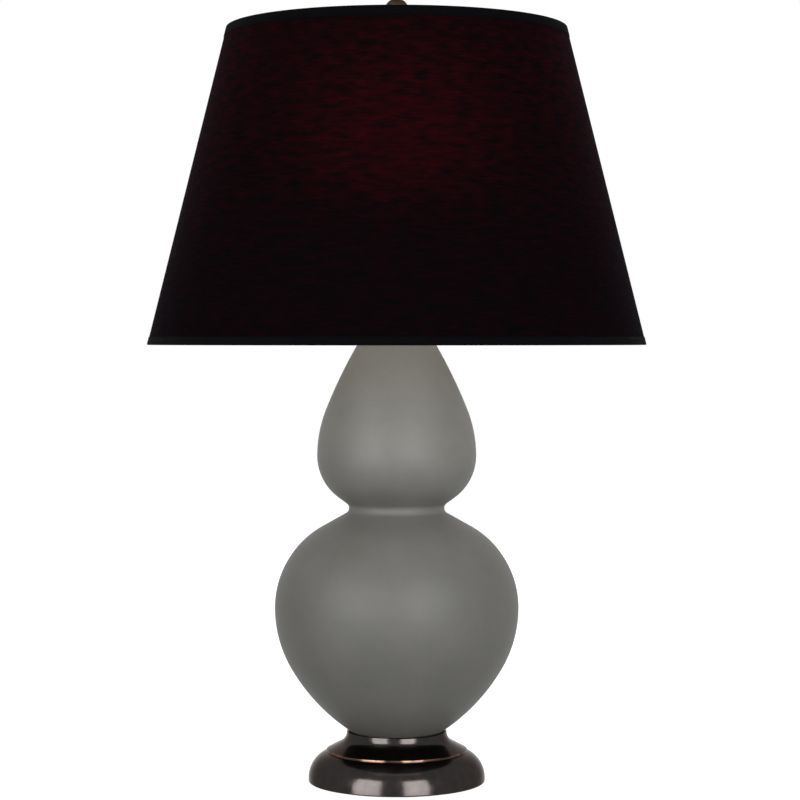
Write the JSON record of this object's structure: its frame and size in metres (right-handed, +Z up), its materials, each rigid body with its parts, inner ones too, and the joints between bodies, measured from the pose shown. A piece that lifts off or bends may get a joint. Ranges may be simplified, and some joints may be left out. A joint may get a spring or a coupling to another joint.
{
  "type": "table lamp",
  "caption": "Table lamp: a glazed ceramic double gourd on a stepped metal foot, with a tapered fabric shade held by a harp and a screwed ball finial.",
  "frame": {"origin": "centre of the underside of the foot, on the table", "axes": "+Z up the rod, -Y to the front, where the switch knob points; the harp stands in the XZ plane"},
  "size_m": [0.4825, 0.4824, 0.762],
  "materials": {
    "felt": "dark wool felt",
    "iron": "rough casting, painted black",
    "aged_bronze": "oil-rubbed bronze, copper showing on worn edges",
    "rubber": "matte",
    "black_plastic": "moulded, satin",
    "plated_steel": "zinc plated, threaded",
    "aged_brass": "dark aged brass",
    "glaze": "satin matte warm grey glaze",
    "harp_wire": "dark bronze lacquer on steel wire",
    "brass": "plain brass",
    "fibre_card": "insulating fibre card",
    "phenolic": "dark phenolic moulding",
    "bulb_metal": "bright drawn aluminium",
    "black_glass": "black glass insulator",
    "frosted_glass": "frosted, lit",
    "clear_glass": "clear",
    "tungsten": "drawn wire",
    "shade_fabric": "black slubbed cloth over a lining",
    "hem_tape": "black folded tape",
    "liner_sheet": "off-white styrene lining",
    "painted_wire": "white enamelled steel wire"
  },
  "bodies": {
    "base": {"felt_pad": "felt", "base_weight": "iron", "base_foot": "aged_bronze", "base_collar": "aged_bronze", "seat_ring": "rubber", "cord_bushing": "black_plastic", "center_rod": "plated_steel", "rod_washer": "plated_steel", "rod_nut": "plated_steel", "lock_nut": "aged_brass", "gourd": "glaze", "cap_gasket": "rubber", "vase_cap": "aged_brass", "neck_spacer": "aged_brass", "harp_saddle": "aged_brass", "harp": "harp_wire", "socket_cap": "aged_brass", "socket_shell": "aged_brass", "socket_insulator": "fibre_card", "socket_core": "phenolic", "terminal_screws": "brass", "screw_shell": "bulb_metal", "socket_contact": "brass"},
    "sleeve_right": {"harp_sleeve_right": "aged_brass"},
    "sleeve_left": {"harp_sleeve_left": "aged_brass"},
    "switch": {"switch_shaft": "brass", "switch_knob": "black_plastic"},
    "bulb_tip": {"bulb_contact": "bulb_metal"},
    "bulb": {"bulb_insulator": "black_glass", "bulb_base": "bulb_metal", "bulb_glass": "frosted_glass", "bulb_stem": "clear_glass", "bulb_filament": "tungsten"},
    "stud": {"harp_stud": "brass"},
    "shade": {"spider_hub": "brass", "spider_arms": "brass", "top_rim_wire": "painted_wire", "bottom_rim_wire": "painted_wire", "shade_liner": "liner_sheet", "shade_cover": "shade_fabric", "top_hem": "hem_tape", "bottom_hem": "hem_tape"},
    "finial_thread": {"finial_bush": "brass"},
    "finial": {"finial": "aged_bronze"}
  },
  "joints": [
    {"name": "sleeve_right_slide", "type": "slide", "parent": "base", "child": "sleeve_right", "axis": [0, 0, 1], "range_m": [0, 0.016]},
    {"name": "sleeve_left_slide", "type": "slide", "parent": "base", "child": "sleeve_left", "axis": [0, 0, 1], "range_m": [0, 0.016]},
    {"name": "switch_turn", "type": "hinge", "parent": "base", "child": "switch", "pos_m": [0, -0.02, 0.50958], "axis": [0, -1, 0], "continuous": true},
    {"name": "bulb_rise", "type": "slide", "parent": "base", "child": "bulb_tip", "axis": [0, 0, 1], "range_m": [0, 0.02178]},
    {"name": "bulb_turn", "type": "hinge", "parent": "bulb_tip", "child": "bulb", "pos_m": [0, 0, 0.6], "axis": [0, 0, 1], "range_deg": [0, 2160]},
    {"name": "shade_swivel", "type": "hinge", "parent": "base", "child": "stud", "pos_m": [0, 0, 0.71498], "axis": [0, 0, 1], "continuous": true},
    {"name": "shade_lift", "type": "slide", "parent": "stud", "child": "shade", "axis": [0, 0, 1], "range_m": [0, 0.305]},
    {"name": "finial_rise", "type": "slide", "parent": "shade", "child": "finial_thread", "axis": [0, 0, 1], "range_m": [0, 0.00846]},
    {"name": "finial_turn", "type": "hinge", "parent": "finial_thread", "child": "finial", "pos_m": [0, 0, 0.71949], "axis": [0, 0, 1], "range_deg": [0, 3240]}
  ],
  "couplings": [
    {"joint": "bulb_turn", "follows": "bulb_rise", "rad_per_m": 1730.9},
    {"joint": "finial_turn", "follows": "finial_rise", "rad_per_m": 6684.2}
  ]
}
